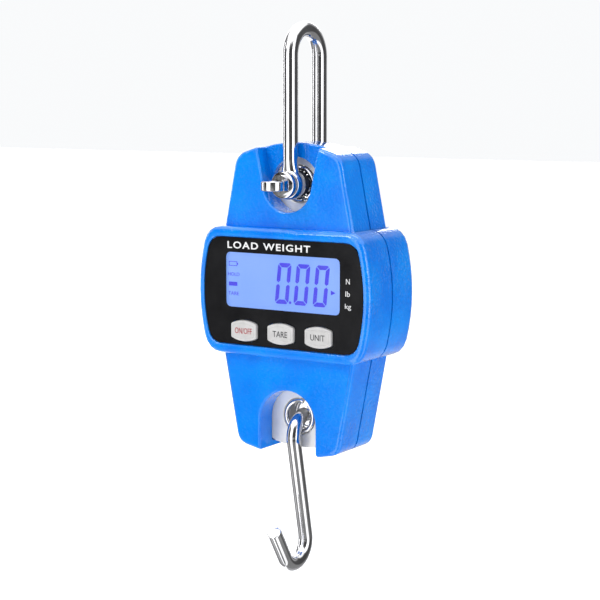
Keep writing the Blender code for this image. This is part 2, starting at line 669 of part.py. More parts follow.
def shackle_pin(axis):
    """Screw pin with a collar and a flat tab at the front and a cross hole in its threaded tip."""
    collar_back = -LEG_Y - ROD_R - GAP
    collar_front = collar_back - PIN_COLLAR
    shoulder_y = LEG_Y - 1.1
    profile = [(0.0, PIN_TIP_Y), (PIN_THREAD_R - 0.5, PIN_TIP_Y), (PIN_THREAD_R, PIN_TIP_Y - 0.5),
               (PIN_THREAD_R, shoulder_y), (PIN_R, shoulder_y - 0.4), (PIN_R, collar_back),
               (PIN_COLLAR_R - 0.5, collar_back), (PIN_COLLAR_R, collar_back - 0.6),
               (PIN_COLLAR_R, collar_front + 0.6), (PIN_COLLAR_R - 0.5, collar_front),
               (0.0, collar_front)]
    seat = Matrix.Rotation(-math.pi / 2, 4, "X")
    pin = piece("shackle_pin", turned(profile, seat, 28), axis, 0.0, (0.35, 0.35, 0.36), 0.1, 1.0)
    tab = rod([(0.0, 0.0, -PIN_TAB_THICK / 2), (0.0, 0.0, PIN_TAB_THICK / 2)], PIN_TAB_R, 6)
    tab.transform(Matrix.Translation((0.0, (collar_front - PIN_TAB + PIN_TAB_R) * MM, 0.0)))
    join(pin, tool("pin_tab", tab, axis, 0.0))
    neck = box(-4.0, 4.0, collar_front - PIN_TAB + PIN_TAB_R, collar_front + 1.0,
               -PIN_TAB_THICK / 2 + 0.1, PIN_TAB_THICK / 2 - 0.1)
    join(pin, tool("pin_neck", neck, axis, 0.0))
    hole = rod([(0.0, 0.0, -5.0), (0.0, 0.0, 5.0)], 1.7, 3)
    hole.transform(Matrix.Translation((0.0, (collar_front - PIN_TAB + PIN_TAB_R) * MM, 0.0)))
    cut(pin, tool("pin_tab_hole", hole, axis, 0.0))
    hole = rod([(0.0, 0.0, -6.0), (0.0, 0.0, 6.0)], COTTER_HOLE_R, 3)
    hole.transform(Matrix.Translation((0.0, COTTER_Y * MM, 0.0)))
    cut(pin, tool("pin_cotter_hole", hole, axis, 0.0))


def cotter_pin(axis):
    """Split pin through the tip of the shackle pin, its two legs spread below."""
    half = 0.62
    loop_r = 1.3
    loop_z = PIN_THREAD_R + 3.4
    points = [(-3.6, COTTER_Y, -12.6), (-1.2, COTTER_Y, -6.2), (-half, COTTER_Y, -4.4),
              (-half, COTTER_Y, PIN_THREAD_R + 1.2)]
    for k in range(11):
        angle = math.radians(240 - 300 * k / 10)
        points.append((loop_r * math.cos(angle), COTTER_Y, loop_z + 0.3 + loop_r * math.sin(angle)))
    points += [(half, COTTER_Y, PIN_THREAD_R + 1.2), (half, COTTER_Y, -4.4), (1.2, COTTER_Y, -6.2),
               (3.2, COTTER_Y, -11.4)]
    piece("cotter_pin", rod(points, COTTER_WIRE_R, 1), axis, 0.0, (0.6, 0.6, 0.62), 0.25, 1.0)


def pin_bushes(axis):
    """Rubber spacers on the pin, between each leg of the bow and the load cell plate."""
    inner = 4.05
    outer = RING_R - RING_WIRE_R - 0.25
    length = LEG_Y - ROD_R - GAP - PLATE_Y + 0.1
    profile = [(inner, length / 2), (outer - 0.3, length / 2), (outer, length / 2 - 0.3),
               (outer, -length / 2 + 0.3), (outer - 0.3, -length / 2), (inner, -length / 2)]
    for name, side in (("front", -1), ("rear", 1)):
        y = side * (LEG_Y - ROD_R - GAP - length / 2)
        seat = Matrix.Translation((0.0, y * MM, 0.0)) @ Matrix.Rotation(-math.pi / 2, 4, "X")
        piece(f"pin_bush_{name}", turned(profile, seat, 28, closed=True), axis, 0.0,
              (0.02, 0.02, 0.02), 0.8, 0.0)


# S hook


def s_hook(axis):
    """Bent bar hung in the lower eye; it leans so that the load hangs nearer the eye."""
    reach = HOOK_BEND_R - HOOK_R - RING_WIRE_R - GAP
    bend_z = -RING_R - math.sqrt(reach ** 2 - RING_Y ** 2)
    half = []
    tip = (HOOK_BEND_R * math.cos(HOOK_FLARE) + HOOK_LEG * math.sin(HOOK_FLARE),
           HOOK_BEND_R * math.sin(HOOK_FLARE) - HOOK_LEG * math.cos(HOOK_FLARE))
    half.append(tip)
    for k in range(15):
        angle = HOOK_FLARE + (math.pi - HOOK_FLARE) * k / 14
        half.append((HOOK_BEND_R * math.cos(angle), HOOK_BEND_R * math.sin(angle)))
    middle = (-HOOK_BEND_R, -HOOK_STEM / 2)
    line = half + [(2 * middle[0] - y, 2 * middle[1] - z) for y, z in reversed(half)]
    points = []
    for y, z in line:
        leaned = (y * math.cos(HOOK_TILT) - z * math.sin(HOOK_TILT),
                  y * math.sin(HOOK_TILT) + z * math.cos(HOOK_TILT))
        points.append((0.0, leaned[0], bend_z + leaned[1]))
    piece("s_hook", rod(points, HOOK_R, 3), axis, 0.0, (0.35, 0.35, 0.36), 0.1, 1.0)


clear_scene()
PARTS = make_collection("crane_scale")
CUTTERS = make_collection("cutters")
PIN_AXIS = make_axis("pin_axis", None, PIN_Z)
HOOK_AXIS = make_axis("hook_axis", PIN_AXIS, BODY_DROP + EYE_LOW_Z)
shackle_bow(PIN_AXIS)
shackle_pin(PIN_AXIS)
cotter_pin(PIN_AXIS)
pin_bushes(PIN_AXIS)
front_cover(PIN_AXIS)
rear_cover(PIN_AXIS)
case_seal(PIN_AXIS)
case_screws(PIN_AXIS)
load_cell(PIN_AXIS)
wear_rings(PIN_AXIS)
gauge_parts(PIN_AXIS)
display_parts(PIN_AXIS)
board_parts(PIN_AXIS)
keys(PIN_AXIS)
battery_parts(PIN_AXIS)
battery_door(PIN_AXIS)
s_hook(HOOK_AXIS)
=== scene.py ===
"""Looks of the hanging crane scale: painted castings, lit display, press keys and polished rigging."""
import json
import math

import bmesh
import bpy
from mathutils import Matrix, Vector


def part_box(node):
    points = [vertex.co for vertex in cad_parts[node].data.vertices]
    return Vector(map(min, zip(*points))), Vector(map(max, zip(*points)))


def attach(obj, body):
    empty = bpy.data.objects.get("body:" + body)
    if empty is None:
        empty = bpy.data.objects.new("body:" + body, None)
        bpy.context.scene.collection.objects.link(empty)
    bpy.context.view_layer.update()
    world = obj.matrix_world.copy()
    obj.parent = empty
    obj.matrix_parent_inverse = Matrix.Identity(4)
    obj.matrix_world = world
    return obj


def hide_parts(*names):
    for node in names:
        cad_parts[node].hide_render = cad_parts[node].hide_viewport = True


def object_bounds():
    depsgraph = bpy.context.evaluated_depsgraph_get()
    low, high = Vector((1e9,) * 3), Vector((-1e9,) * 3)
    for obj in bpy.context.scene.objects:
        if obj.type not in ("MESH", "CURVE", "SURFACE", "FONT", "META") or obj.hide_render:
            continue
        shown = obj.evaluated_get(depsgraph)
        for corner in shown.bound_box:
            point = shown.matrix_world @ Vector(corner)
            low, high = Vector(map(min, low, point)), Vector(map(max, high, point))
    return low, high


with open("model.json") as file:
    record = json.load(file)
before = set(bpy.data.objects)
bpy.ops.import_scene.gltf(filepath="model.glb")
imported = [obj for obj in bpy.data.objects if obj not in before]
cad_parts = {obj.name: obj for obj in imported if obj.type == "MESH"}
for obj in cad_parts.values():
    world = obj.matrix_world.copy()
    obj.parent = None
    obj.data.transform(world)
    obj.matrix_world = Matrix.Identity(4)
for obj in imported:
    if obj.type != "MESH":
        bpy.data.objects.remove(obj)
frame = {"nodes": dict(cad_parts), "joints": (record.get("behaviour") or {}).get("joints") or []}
CAD_LOW, CAD_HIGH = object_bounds()

MM = 0.001
BODY = "scale_body"
JOINTS = {joint["name"]: joint for joint in frame["joints"]}
PIN_Z = JOINTS["scale_swing"]["pos_m"][2]
LOWER_EYE_Z = JOINTS["s_hook_swing"]["pos_m"][2]


def middle(node):
    low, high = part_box(node)
    return (Vector(low) + Vector(high)) / 2


DISPLAY_Z = middle("display_overlay").z
PANEL_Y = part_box("display_overlay")[0][1]
KEY_FACE_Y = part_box("tare_key")[0][1]
EAR_Y = 14.3 * MM
BOX_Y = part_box("rear_cover")[1][1]
KEY_ROW_Z = DISPLAY_Z - 16.7 * MM
POCKET_FLOOR_Y = 7.4 * MM
EDGE_ROUND = 0.8 * MM
EYE_RING_R = 6.7 * MM
PLATE_FACE_Y = 4.5 * MM
COTTER_Y = 19.4 * MM
FLOOR_Z = CAD_LOW[2] - 5 * MM


# camera


def aim(obj, target):
    obj.rotation_euler = (Vector(target) - obj.location).to_track_quat("-Z", "Y").to_euler()


def add_camera():
    target = Vector((0.0, -4 * MM, (CAD_LOW[2] + CAD_HIGH[2]) / 2))
    azimuth, elevation, distance = math.radians(32.5), math.radians(7.4), 0.68
    away = Vector((math.sin(azimuth) * math.cos(elevation), -math.cos(azimuth) * math.cos(elevation),
                   math.sin(elevation)))
    bpy.ops.object.camera_add(location=target + away * distance)
    camera = bpy.context.object
    camera.name = "camera"
    camera.data.lens = 96
    camera.data.sensor_width = 36
    camera.data.clip_start = 0.01
    aim(camera, target)
    bpy.context.scene.camera = camera


# modelling tools


def drop_selection():
    if bpy.context.object and bpy.context.object.mode != "OBJECT":
        bpy.ops.object.mode_set(mode="OBJECT")
    bpy.ops.object.select_all(action="DESELECT")


def take(obj):
    drop_selection()
    obj.select_set(True)
    bpy.context.view_layer.objects.active = obj


def named(name):
    obj = bpy.context.object
    obj.name = name
    obj.data.name = name
    return obj


def edit(obj, kind, test):
    """Opens obj in edit mode with the vertices, edges or faces that pass test selected."""
    take(obj)
    bpy.ops.object.mode_set(mode="EDIT")
    bpy.ops.mesh.select_mode(type=kind)
    bpy.ops.mesh.select_all(action="DESELECT")
    mesh = bmesh.from_edit_mesh(obj.data)
    mesh.normal_update()
    parts = {"VERT": mesh.verts, "EDGE": mesh.edges, "FACE": mesh.faces}[kind]
    for part in [p for p in parts if test(p)]:
        part.select_set(True)
    bmesh.update_edit_mesh(obj.data)


def leave():
    bpy.ops.object.mode_set(mode="OBJECT")


def settle(obj):
    """Applies the object's placing, so that it sits at the origin."""
    take(obj)
    bpy.ops.object.transform_apply(location=True, rotation=True, scale=True)


def face_outwards(obj):
    edit(obj, "FACE", lambda face: True)
    bpy.ops.mesh.remove_doubles(threshold=0.000002)
    bpy.ops.mesh.normals_make_consistent(inside=False)
    leave()


def apply_modifier(obj, kind, **settings):
    take(obj)
    modifier = obj.modifiers.new(kind.title(), kind)
    for key, value in settings.items():
        setattr(modifier, key, value)
    bpy.ops.object.modifier_apply(modifier=modifier.name)


def combine(obj, other, operation):
    apply_modifier(obj, "BOOLEAN", object=other, operation=operation, solver="EXACT")
    bpy.data.objects.remove(other)


def smooth(obj, degrees=35):
    take(obj)
    bpy.ops.object.shade_smooth_by_angle(angle=math.radians(degrees))
    apply_modifier(obj, "WEIGHTED_NORMAL", keep_sharp=True, weight=80)


def bevel_edges(obj, test, width, segments=3):
    edit(obj, "EDGE", test)
    bpy.ops.mesh.bevel(offset=width, offset_type="OFFSET", segments=segments, affect="EDGES",
                       clamp_overlap=False, loop_slide=True)
    leave()


def is_sharp(edge, degrees=50):
    """True for an outward corner between two faces that turn by more than degrees."""
    return len(edge.link_faces) == 2 and edge.calc_face_angle_signed(0.0) > math.radians(degrees)


def edge_middle(edge):
    return (edge.verts[0].co + edge.verts[1].co) / 2


def rim_at(y):
    """A test for the outward corners that lie in the plane y."""
    return lambda edge: is_sharp(edge) and all(abs(v.co.y - y) < 0.02 * MM for v in edge.verts)


def add_cylinder(name, radius, depth, centre, axis, vertices=48):
    drop_selection()
    turn = {"X": (0, math.pi / 2, 0), "Y": (math.pi / 2, 0, 0), "Z": (0, 0, 0)}[axis]
    bpy.ops.mesh.primitive_cylinder_add(vertices=vertices, radius=radius, depth=depth,
                                        location=centre, rotation=turn)
    obj = named(name)
    settle(obj)
    return obj


def add_block(name, size, centre):
    drop_selection()
    bpy.ops.mesh.primitive_cube_add(size=1, location=centre, scale=size)
    obj = named(name)
    settle(obj)
    return obj


def lathe(name, profile, centre, axis="Y", steps=64):
    """A point drawn out along profile, (radius, distance along the axis), and spun about the axis."""
    drop_selection()
    bpy.ops.mesh.primitive_plane_add(size=1 * MM, location=centre)
    obj = named(name)
    along = {"X": Vector((1, 0, 0)), "Y": Vector((0, 1, 0))}[axis]
    outward = Vector((0, 0, 1))
    places = [Vector(centre) + along * d + outward * r for r, d in profile]
    settle(obj)
    edit(obj, "VERT", lambda vertex: True)
    bpy.ops.mesh.merge(type="CENTER")
    bpy.ops.transform.translate(value=places[0] - Vector(centre))
    for last, here in zip(places, places[1:]):
        bpy.ops.mesh.extrude_vertices_move(TRANSFORM_OT_translate={"value": here - last})
    bpy.ops.mesh.select_all(action="SELECT")
    bpy.ops.mesh.spin(steps=steps, angle=math.tau, center=centre, axis=along)
    leave()
    face_outwards(obj)
    return obj


def wire(name, points, radius, resolution=6):
    """A round bar drawn along points, with its ends closed."""
    drop_selection()
    bpy.ops.mesh.primitive_plane_add(size=1 * MM, location=points[0])
    obj = named(name)
    settle(obj)
    edit(obj, "VERT", lambda vertex: True)
    bpy.ops.mesh.merge(type="CENTER")
    for last, here in zip(points, points[1:]):
        step = Vector(here) - Vector(last)
        bpy.ops.mesh.extrude_vertices_move(TRANSFORM_OT_translate={"value": step})
    leave()
    bpy.ops.object.convert(target="CURVE")
    curve = bpy.context.object.data
    curve.bevel_depth = radius
    curve.bevel_resolution = resolution
    curve.use_fill_caps = True
    bpy.ops.object.convert(target="MESH")
    obj = named(name)
    face_outwards(obj)
    return obj


def patch(name, corners, thick=0.05 * MM, y=0.0):
    """A thin flat shape in the plane y: a round primitive with its corners pulled to (x, z)."""
    drop_selection()
    bpy.ops.mesh.primitive_circle_add(vertices=len(corners), radius=1 * MM, fill_type="NGON")
    obj = named(name)
    for vertex, (x, z) in zip(obj.data.vertices, corners):
        vertex.co = (x, y, z)
    edit(obj, "FACE", lambda face: True)
    bpy.ops.mesh.extrude_region_move(TRANSFORM_OT_translate={"value": (0, -thick, 0)})
    leave()
    edit(obj, "EDGE", lambda edge: edge.is_boundary)
    bpy.ops.mesh.edge_face_add()
    leave()
    face_outwards(obj)
    return obj


def letters(name, words, middle_x, middle_z, height, width, y, gap=1.0, bold=0.0):
    """Plain sans letters, made a mesh, scaled to width and height and just proud of the plane y."""
    drop_selection()
    bpy.ops.object.text_add(location=(0, 0, 0))
    obj = bpy.context.object
    obj.data.body = words
    obj.data.extrude = 0.005
    obj.data.resolution_u = 4
    obj.data.space_character = gap
    obj.data.offset = bold
    bpy.ops.object.convert(target="MESH")
    obj = named(name)
    xs = [vertex.co.x for vertex in obj.data.vertices]
    ys = [vertex.co.y for vertex in obj.data.vertices]
    scale_x, scale_y = width / (max(xs) - min(xs)), height / (max(ys) - min(ys))
    obj.scale = (scale_x, scale_y, 8 * MM)
    obj.rotation_euler = (math.pi / 2, 0, 0)
    obj.location = (middle_x - scale_x * (max(xs) + min(xs)) / 2, y - 0.03 * MM,
                    middle_z - scale_y * (max(ys) + min(ys)) / 2)
    settle(obj)
    face_outwards(obj)
    return obj


def gather(name, objects):
    take(objects[0])
    for obj in objects:
        obj.select_set(True)
    bpy.ops.object.join()
    return named(name)


def copied(obj, name, shift, turn=0.0, centre=(0, 0, 0)):
    """A copy with its own mesh, turned about a line along Z through centre and then moved by shift."""
    take(obj)
    bpy.ops.object.duplicate()
    copy = named(name)
    edit(copy, "VERT", lambda vertex: True)
    if turn:
        bpy.ops.transform.rotate(value=turn, orient_axis="Z", center_override=centre)
    bpy.ops.transform.translate(value=shift)
    leave()
    return copy


def from_cad(node, name):
    """A merged copy of a CAD node, with its flat stretches made whole faces again."""
    source = frame["nodes"][node]
    take(source)
    bpy.ops.object.duplicate()
    obj = named(name)
    obj.data.materials.clear()
    edit(obj, "FACE", lambda face: True)
    bpy.ops.mesh.remove_doubles(threshold=0.000005)
    bpy.ops.mesh.dissolve_limited(angle_limit=math.radians(0.5))
    leave()
    return obj


def mount(obj, body, material, slot, *nodes):
    """Gives obj its material and its body, and hides the CAD nodes that it stands for."""
    obj.data.materials.clear()
    obj.data.materials.append(material)
    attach(obj, body)
    if nodes:
        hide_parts(*nodes)
    return obj


# materials


class Finish:
    """A Principled material on Object coordinates, with short names for the nodes it is built from."""

    def __init__(self, name, colour, roughness, metallic=0.0, **sockets):
        self.material = bpy.data.materials.new(name)
        self.material.use_nodes = True
        self.nodes = self.material.node_tree.nodes
        self.links = self.material.node_tree.links
        self.shader = self.nodes["Principled BSDF"]
        self.shader.inputs["Base Color"].default_value = (*colour, 1.0)
        self.shader.inputs["Roughness"].default_value = roughness
        self.shader.inputs["Metallic"].default_value = metallic
        for key, value in sockets.items():
            self.shader.inputs[key.replace("_", " ")].default_value = value
        self.place = self.nodes.new("ShaderNodeTexCoord").outputs["Object"]

    def stretched(self, scale):
        mapping = self.nodes.new("ShaderNodeMapping")
        mapping.inputs["Scale"].default_value = scale
        self.links.new(self.place, mapping.inputs["Vector"])
        return mapping.outputs["Vector"]

    def noise(self, scale, detail=3.0, rough=0.5, vector=None):
        node = self.nodes.new("ShaderNodeTexNoise")
        node.inputs["Scale"].default_value = scale
        node.inputs["Detail"].default_value = detail
        node.inputs["Roughness"].default_value = rough
        self.links.new(vector or self.place, node.inputs["Vector"])
        return node.outputs["Fac"]

    def cells(self, scale):
        node = self.nodes.new("ShaderNodeTexVoronoi")
        node.feature = "SMOOTH_F1"
        node.inputs["Scale"].default_value = scale
        node.inputs["Smoothness"].default_value = 0.6
        self.links.new(self.place, node.inputs["Vector"])
        return node.outputs["Distance"]

    def spread(self, value, low, high, out_low, out_high):
        node = self.nodes.new("ShaderNodeMapRange")
        for key, number in (("From Min", low), ("From Max", high), ("To Min", out_low),
                            ("To Max", out_high)):
            node.inputs[key].default_value = number
        self.links.new(value, node.inputs["Value"])
        return node.outputs["Result"]

    def maths(self, a, b, operation="ADD"):
        node = self.nodes.new("ShaderNodeMath")
        node.operation = operation
        self.links.new(a, node.inputs[0])
        if isinstance(b, float):
            node.inputs[1].default_value = b
        else:
            self.links.new(b, node.inputs[1])
        return node.outputs["Value"]

    def blend(self, factor, low, high):
        node = self.nodes.new("ShaderNodeMix")
        node.data_type = "RGBA"
        self.links.new(factor, node.inputs["Factor"])
        for slot, colour in ((6, low), (7, high)):
            if isinstance(colour, tuple):
                node.inputs[slot].default_value = (*colour, 1.0)
            else:
                self.links.new(colour, node.inputs[slot])
        return node.outputs[2]

    def colour(self, value):
        self.links.new(value, self.shader.inputs["Base Color"])

    def rough(self, value):
        self.links.new(value, self.shader.inputs["Roughness"])

    def bump(self, height, depth, strength=1.0):
        node = self.nodes.new("ShaderNodeBump")
        node.inputs["Strength"].default_value = strength
        node.inputs["Distance"].default_value = depth
        self.links.new(height, node.inputs["Height"])
        last = self.shader.inputs["Normal"].links
        if last:
            self.links.new(last[0].from_socket, node.inputs["Normal"])
        self.links.new(node.outputs["Normal"], self.shader.inputs["Normal"])


def casting_paint():
    """Glossy blue paint over a rough casting: orange peel, stronger in patches."""
    paint = Finish("blue_casting_paint", (0.0, 0.24, 0.9), 0.12, Coat_Weight=1.0,
                   Coat_Roughness=0.03, Specular_IOR_Level=0.1)
    tone = paint.spread(paint.noise(60, 3.0), 0.35, 0.65, 0.0, 1.0)
    paint.colour(paint.blend(tone, (0.0, 0.2, 0.84), (0.0, 0.265, 0.93)))
    paint.rough(paint.spread(paint.noise(420, 4.0), 0.3, 0.7, 0.08, 0.16))
    patches = paint.spread(paint.noise(28, 2.0), 0.4, 0.62, 0.35, 1.0)
    peel = paint.maths(paint.noise(620, 2.0, 0.45), paint.cells(820), "ADD")
    paint.bump(paint.maths(peel, patches, "MULTIPLY"), 0.0006, 0.65)
    paint.bump(paint.noise(130, 2.0), 0.0005, 0.35)
    return paint.material


def door_plastic():
    """Moulded blue plastic with a fine spark-eroded grain."""
    door = Finish("blue_door_plastic", (0.0, 0.22, 0.85), 0.4)
    tone = door.spread(door.noise(45), 0.3, 0.7, 0.0, 1.0)
    door.colour(door.blend(tone, (0.0, 0.2, 0.8), (0.0, 0.24, 0.88)))
    door.rough(door.spread(door.noise(300), 0.3, 0.7, 0.34, 0.48))
    door.bump(door.cells(2200), 0.00006, 0.5)
    return door.material


def overlay_film():
    """Black glossy film with a faint ripple and fine dust-like unevenness."""
    film = Finish("black_overlay_film", (0.006, 0.006, 0.007), 0.14, Specular_IOR_Level=0.15)
    tone = film.spread(film.noise(70), 0.3, 0.7, 0.0, 1.0)
    film.colour(film.blend(tone, (0.004, 0.004, 0.005), (0.012, 0.012, 0.013)))
    film.rough(film.spread(film.noise(900, 4.0), 0.3, 0.7, 0.1, 0.2))
    film.bump(film.noise(180, 2.0), 0.00008, 0.25)
    return film.material


def printing(name, colour):
    """Screen printed ink, slightly uneven."""
    ink = Finish(name, colour, 0.45)
    tone = ink.spread(ink.noise(1500), 0.3, 0.7, 0.0, 1.0)
    ink.colour(ink.blend(tone, tuple(c * 0.88 for c in colour), colour))
    ink.bump(ink.noise(2500), 0.00002, 0.4)
    return ink.material


def lit_display():
    """Backlit display face, its glow and colour varying a little across it."""
    face = Finish("lit_display_face", (0.16, 0.28, 0.7), 0.25, Emission_Strength=0.86)
    tone = face.spread(face.noise(35, 1.0), 0.35, 0.65, 0.0, 1.0)
    glow = face.blend(tone, (0.225, 0.405, 0.98), (0.262, 0.448, 1.0))
    face.links.new(glow, face.shader.inputs["Emission Color"])
    face.colour(face.blend(tone, (0.05, 0.09, 0.22), (0.06, 0.1, 0.24)))
    face.bump(face.noise(2600), 0.00001, 0.3)
    return face.material


def display_ink():
    """Dark blue of a driven segment."""
    ink = Finish("display_segment_blue", (0.012, 0.01, 0.2), 0.3, Emission_Strength=0.8)
    tone = ink.spread(ink.noise(400), 0.3, 0.7, 0.0, 1.0)
    glow = ink.blend(tone, (0.052, 0.046, 0.76), (0.066, 0.058, 0.86))
    ink.links.new(glow, ink.shader.inputs["Emission Color"])
    return ink.material


def window_pane():
    pane = Finish("clear_window_pane", (0.97, 0.98, 1.0), 0.02, Transmission_Weight=1.0, IOR=1.3)
    pane.rough(pane.spread(pane.noise(500), 0.3, 0.7, 0.01, 0.04))
    return pane.material


def key_plastic():
    """Pale grey satin key with a fine moulded grain."""
    key = Finish("pale_grey_key", (0.58, 0.57, 0.56), 0.42, Specular_IOR_Level=0.45)
    tone = key.spread(key.noise(260), 0.3, 0.7, 0.0, 1.0)
    key.colour(key.blend(tone, (0.54, 0.53, 0.52), (0.62, 0.61, 0.6)))
    key.rough(key.spread(key.noise(700), 0.3, 0.7, 0.34, 0.5))
    key.bump(key.cells(2600), 0.00004, 0.4)
    return key.material


def polished_steel():
    """Bright drawn steel with faint polishing lines."""
    steel = Finish("polished_steel_bar", (0.6, 0.6, 0.61), 0.08, 1.0)
    tone = steel.spread(steel.noise(90), 0.3, 0.7, 0.0, 1.0)
    steel.colour(steel.blend(tone, (0.5, 0.5, 0.51), (0.66, 0.66, 0.67)))
    lines = steel.noise(900, 3.0, 0.5, steel.stretched((1.0, 1.0, 0.08)))
    steel.rough(steel.spread(lines, 0.3, 0.7, 0.05, 0.16))
    steel.bump(steel.noise(260, 3.0), 0.00005, 0.25)
    return steel.material


def spring_steel():
    steel = Finish("bright_spring_wire", (0.68, 0.68, 0.69), 0.12, 1.0)
    tone = steel.spread(steel.noise(300), 0.3, 0.7, 0.0, 1.0)
    steel.colour(steel.blend(tone, (0.58, 0.58, 0.59), (0.76, 0.76, 0.76)))
    steel.rough(steel.spread(steel.noise(1200), 0.3, 0.7, 0.08, 0.2))
    return steel.material


def zinc_steel():
    steel = Finish("zinc_screw_steel", (0.5, 0.5, 0.52), 0.3, 1.0)
    tone = steel.spread(steel.noise(500), 0.3, 0.7, 0.0, 1.0)
    steel.colour(steel.blend(tone, (0.42, 0.42, 0.44), (0.6, 0.6, 0.6)))
    steel.rough(steel.spread(steel.noise(1500), 0.3, 0.7, 0.24, 0.42))
    steel.bump(steel.noise(2400), 0.00002, 0.5)
    return steel.material


def milled_aluminium():
    """Bead blasted aluminium plate: warm pale grey with a fine grain."""
    plate = Finish("blasted_aluminium_plate", (0.8, 0.79, 0.76), 0.42, 0.3)
    tone = plate.spread(plate.noise(120, 5.0), 0.3, 0.7, 0.0, 1.0)
    plate.colour(plate.blend(tone, (0.76, 0.74, 0.69), (0.88, 0.86, 0.81)))
    plate.rough(plate.spread(plate.noise(1600, 4.0), 0.3, 0.7, 0.34, 0.52))
    plate.bump(plate.noise(3200, 3.0), 0.00004, 0.6)
    return plate.material


def black_rubber():
    rubber = Finish("black_rubber", (0.018, 0.018, 0.019), 0.7)
    tone = rubber.spread(rubber.noise(350), 0.3, 0.7, 0.0, 1.0)
    rubber.colour(rubber.blend(tone, (0.012, 0.012, 0.013), (0.035, 0.035, 0.036)))
    rubber.rough(rubber.spread(rubber.noise(900), 0.3, 0.7, 0.55, 0.8))
    rubber.bump(rubber.noise(1800, 4.0), 0.00006, 0.6)
    return rubber.material


def moulded(name, dark, pale, roughness):
    """Plain moulded or cast stuff inside the casing, with a fine grain."""
    stuff = Finish(name, pale, roughness)
    tone = stuff.spread(stuff.noise(200), 0.3, 0.7, 0.0, 1.0)
    stuff.colour(stuff.blend(tone, dark, pale))
    stuff.rough(stuff.spread(stuff.noise(800), 0.3, 0.7, roughness * 0.8, roughness * 1.2))
    stuff.bump(stuff.noise(1600), 0.00004, 0.5)
    return stuff.material


def cell_jacket(name, nub_side, centre):
    """Battery jacket: silver sleeve, green band towards the nub with a red patch, bare metal ends."""
    jacket = Finish(name, (0.6, 0.62, 0.6), 0.25, 0.35)
    split = jacket.nodes.new("ShaderNodeSeparateXYZ")
    jacket.links.new(jacket.place, split.inputs["Vector"])
    along = jacket.maths(jacket.maths(split.outputs["X"], -centre.x), float(nub_side), "MULTIPLY")
    up = jacket.maths(split.outputs["Z"], -centre.z)
    leaning = jacket.maths(along, jacket.maths(up, 0.5, "MULTIPLY"))
    band_start, bare_start = 3.0 * MM, 20.6 * MM
    patch_middle, patch_half_length, patch_half_height = 10.5 * MM, 4.5 * MM, 1.6 * MM
    silver = jacket.spread(jacket.noise(160), 0.3, 0.7, 0.0, 1.0)
    sleeve = jacket.blend(silver, (0.62, 0.64, 0.62), (0.8, 0.81, 0.79))
    sleeve = jacket.blend(jacket.maths(leaning, band_start, "GREATER_THAN"), sleeve, (0.005, 0.22, 0.08))
    from_patch = jacket.maths(jacket.maths(along, -patch_middle), 0.0, "ABSOLUTE")
    near = jacket.maths(from_patch, patch_half_length, "LESS_THAN")
    level = jacket.maths(jacket.maths(up, 0.0, "ABSOLUTE"), patch_half_height, "LESS_THAN")
    sleeve = jacket.blend(jacket.maths(near, level, "MULTIPLY"), sleeve, (0.55, 0.02, 0.015))
    bare = jacket.maths(along, bare_start, "GREATER_THAN")
    jacket.colour(jacket.blend(bare, sleeve, (0.6, 0.6, 0.6)))
    jacket.rough(jacket.spread(jacket.noise(900), 0.3, 0.7, 0.18, 0.34))
    return jacket.material


# casings


def casting(node, name, side, paint):
    """One half of the casing: a CAD copy whose pocket, notch and bead edges are rounded over."""
    shell = from_cad(node, name)
    face_y = side * EAR_Y
    floor_y = side * POCKET_FLOOR_Y

    def pocket_edge(edge):
        place = edge_middle(edge)
        if not is_sharp(edge) or abs(place.x) > 19 * MM or place.z < DISPLAY_Z + 31 * MM:
            return False
        on_face = abs(place.y - face_y) < 0.05 * MM
        in_wall = floor_y * side + 0.2 * MM < place.y * side and place.z > PIN_Z + 6 * MM
        floor_top = abs(place.y - floor_y) < 0.2 * MM and place.z > PIN_Z + 13 * MM
        return on_face or in_wall or floor_top

    def notch_edge(edge):
        place = edge_middle(edge)
        inside = abs(place.x) < 15 * MM and place.z < DISPLAY_Z - 40 * MM
        return is_sharp(edge) and inside and place.y * side > 5.5 * MM

    bevel_edges(shell, pocket_edge, EDGE_ROUND)
    bevel_edges(shell, notch_edge, EDGE_ROUND)
    bevel_edges(shell, rim_at(side * BOX_Y), (0.5 if side < 0 else 0.35) * MM)
    smooth(shell)
    return mount(shell, BODY, paint, "blue_painted_casting", node)


# load cell and rings


def weigh_plate():
    plate = from_cad("load_cell", "weigh_plate")
    bevel_edges(plate, lambda edge: is_sharp(edge) and all(abs(abs(v.co.y) - PLATE_FACE_Y) < 0.02 * MM
                                                           for v in edge.verts), 0.4 * MM, 2)
    smooth(plate, 25)
    mount(plate, BODY, milled_aluminium(), "milled_aluminium", "load_cell")


def wear_ring(node, centre_z, gap_deg):
    """Split ring of round wire whose ends are cut square and broken."""
    centre = Vector((0.0, middle(node).y, centre_z))
    points = []
    count, half_gap = 96, 12
    for k in range(count + 1):
        angle = math.radians(gap_deg + half_gap + (360 - 2 * half_gap) * k / count)
        points.append(centre + Vector((EYE_RING_R * math.cos(angle), 0, EYE_RING_R * math.sin(angle))))
    ring = wire(node + "_wire", points, 1.0 * MM, 5)
    bevel_edges(ring, lambda edge: is_sharp(edge, 60), 0.2 * MM, 2)
    smooth(ring)
    return ring


def wear_rings(steel):
    """A ring in the front of each eye and a copy of it at the rear."""
    for eye, centre_z, gap_deg in (("upper", PIN_Z, -65), ("lower", LOWER_EYE_Z, 62)):
        front, rear = eye + "_ring_front", eye + "_ring_rear"
        ring = wear_ring(front, centre_z, gap_deg)
        other = copied(ring, rear + "_wire", (0, middle(rear).y - middle(front).y, 0))
        mount(ring, BODY, steel, "bright_wire", front)
        mount(other, BODY, steel, "bright_wire", rear)


# display


